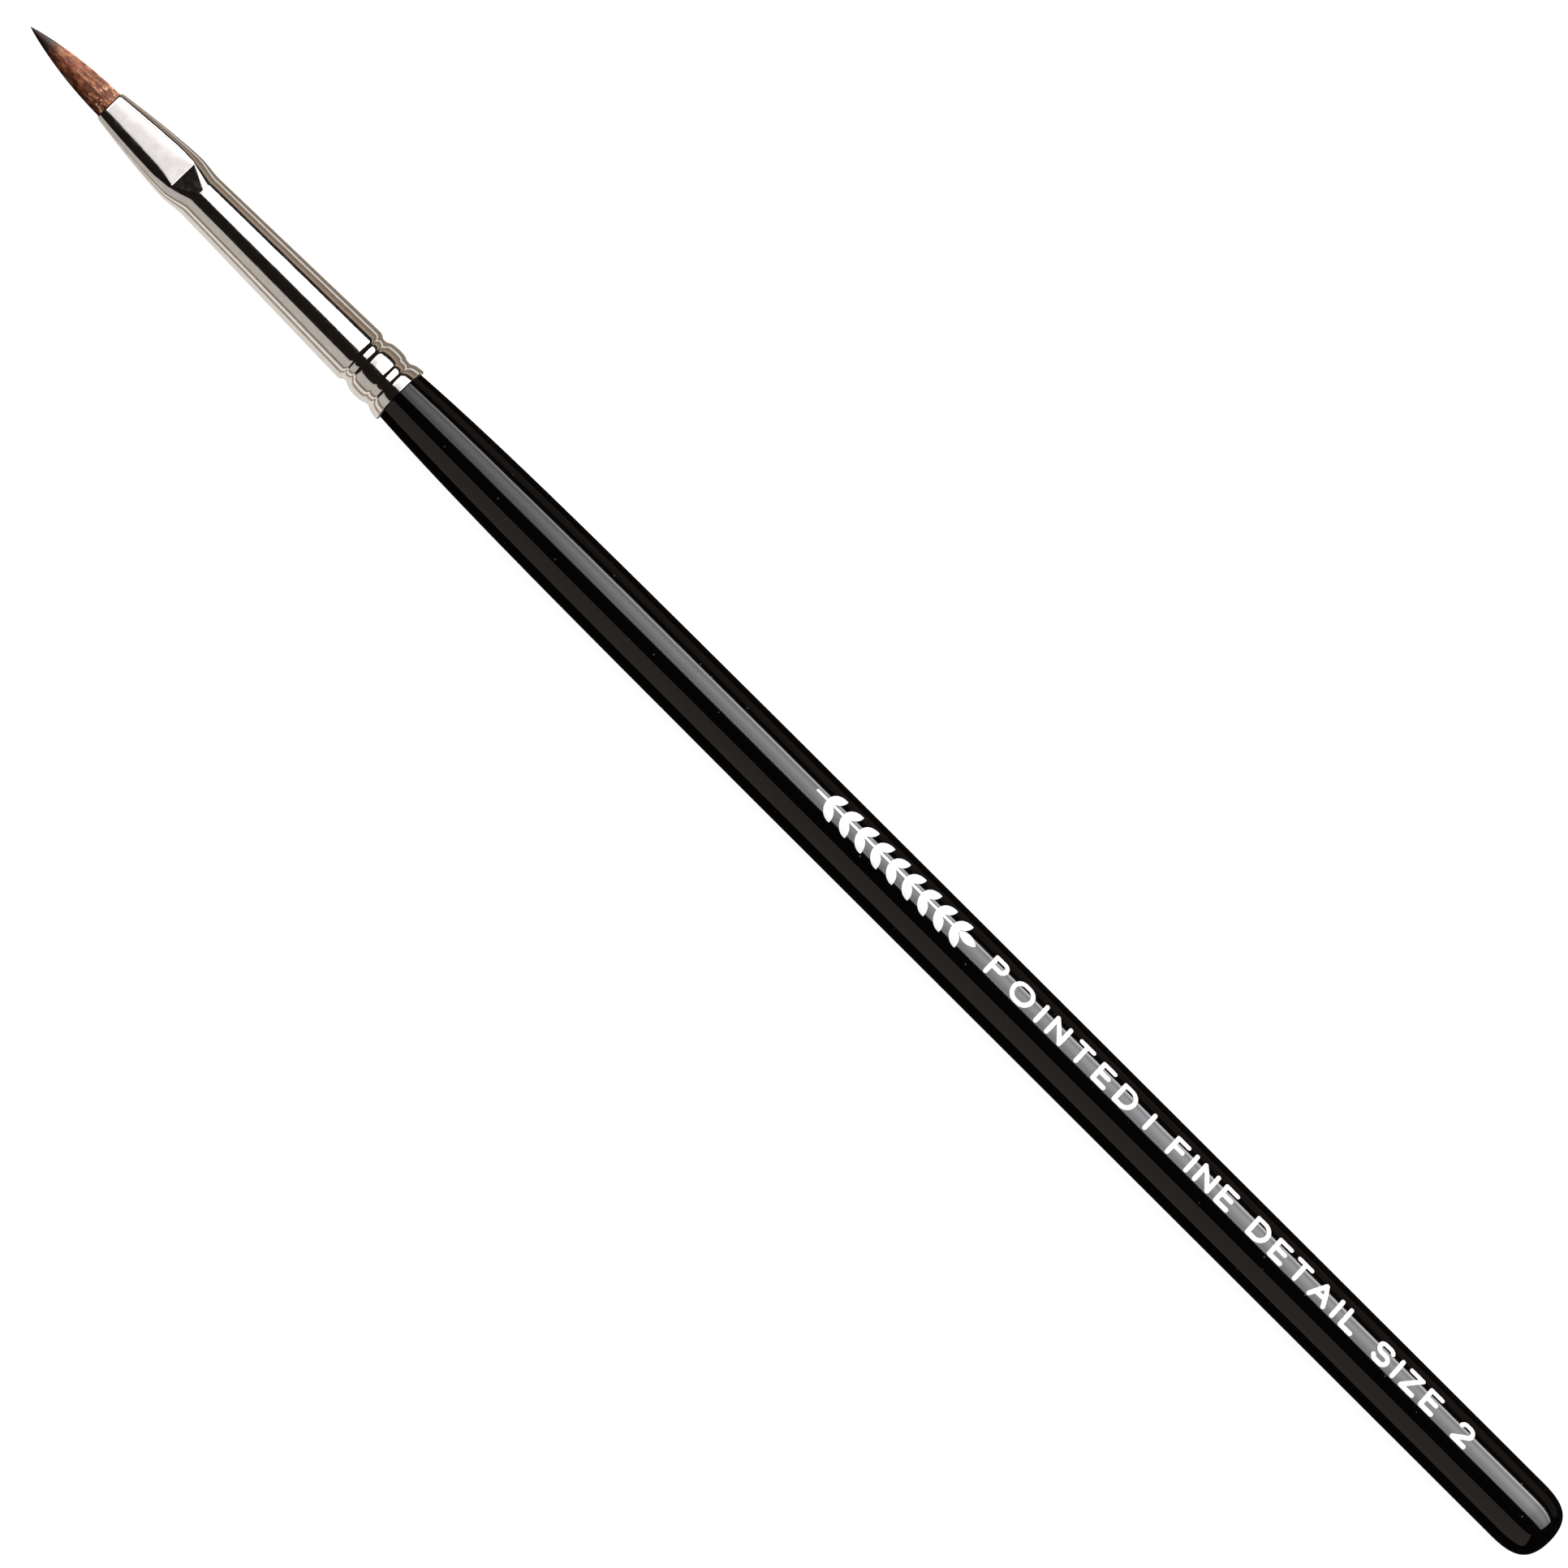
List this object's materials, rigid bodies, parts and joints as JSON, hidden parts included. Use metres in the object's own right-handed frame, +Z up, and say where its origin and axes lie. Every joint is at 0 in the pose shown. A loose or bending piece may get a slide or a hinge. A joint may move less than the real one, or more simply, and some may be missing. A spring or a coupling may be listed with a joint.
{
  "type": "fine detail brush",
  "caption": "Slim round-handled brush with a short pointed hair tuft in a nickel-plated ferrule that is pinched flat at the mouth and crimped onto a gloss black wooden handle.",
  "frame": {"origin": "on the table under the middle of the brush, which lies on its handle", "axes": "+Z up, square to the pinched flats of the ferrule; X along the brush, hair tip at -X and handle end at +X; Y across"},
  "size_m": [0.165, 0.0058, 0.0058],
  "materials": {
    "nickel_plate": "polished nickel plate on drawn brass",
    "bare_wood": "turned and sanded",
    "black_lacquer": "high gloss lacquer",
    "white_foil": "hot-stamped foil",
    "glue": "set wood glue",
    "hair": "natural red-brown hair",
    "thread": "waxed thread",
    "cement": "cured resin"
  },
  "bodies": {
    "root": {"ferrule": "nickel_plate", "handle_core": "bare_wood", "handle_lacquer": "black_lacquer", "handle_print": "white_foil", "tenon_glue": "glue", "hair_root_bundle": "hair", "binding_thread": "thread", "root_cement": "cement"},
    "belly": {"tuft_belly": "hair"},
    "tip": {"tuft_tip": "hair"}
  },
  "joints": [
    {"name": "tuft_bend", "type": "hinge", "parent": "root", "child": "belly", "pos_m": [-0.07388, 0, 0.00287], "axis": [0, 1, 0], "range_deg": [-30, 30], "stiffness_Nm_per_rad": 0.000003},
    {"name": "tip_bend", "type": "hinge", "parent": "belly", "child": "tip", "pos_m": [-0.0786, 0, 0.00287], "axis": [0, 1, 0], "range_deg": [-25, 25], "stiffness_Nm_per_rad": 0.00000015}
  ],
  "couplings": [
    {"joint": "tip_bend", "follows": "tuft_bend", "ratio": 0.8}
  ]
}
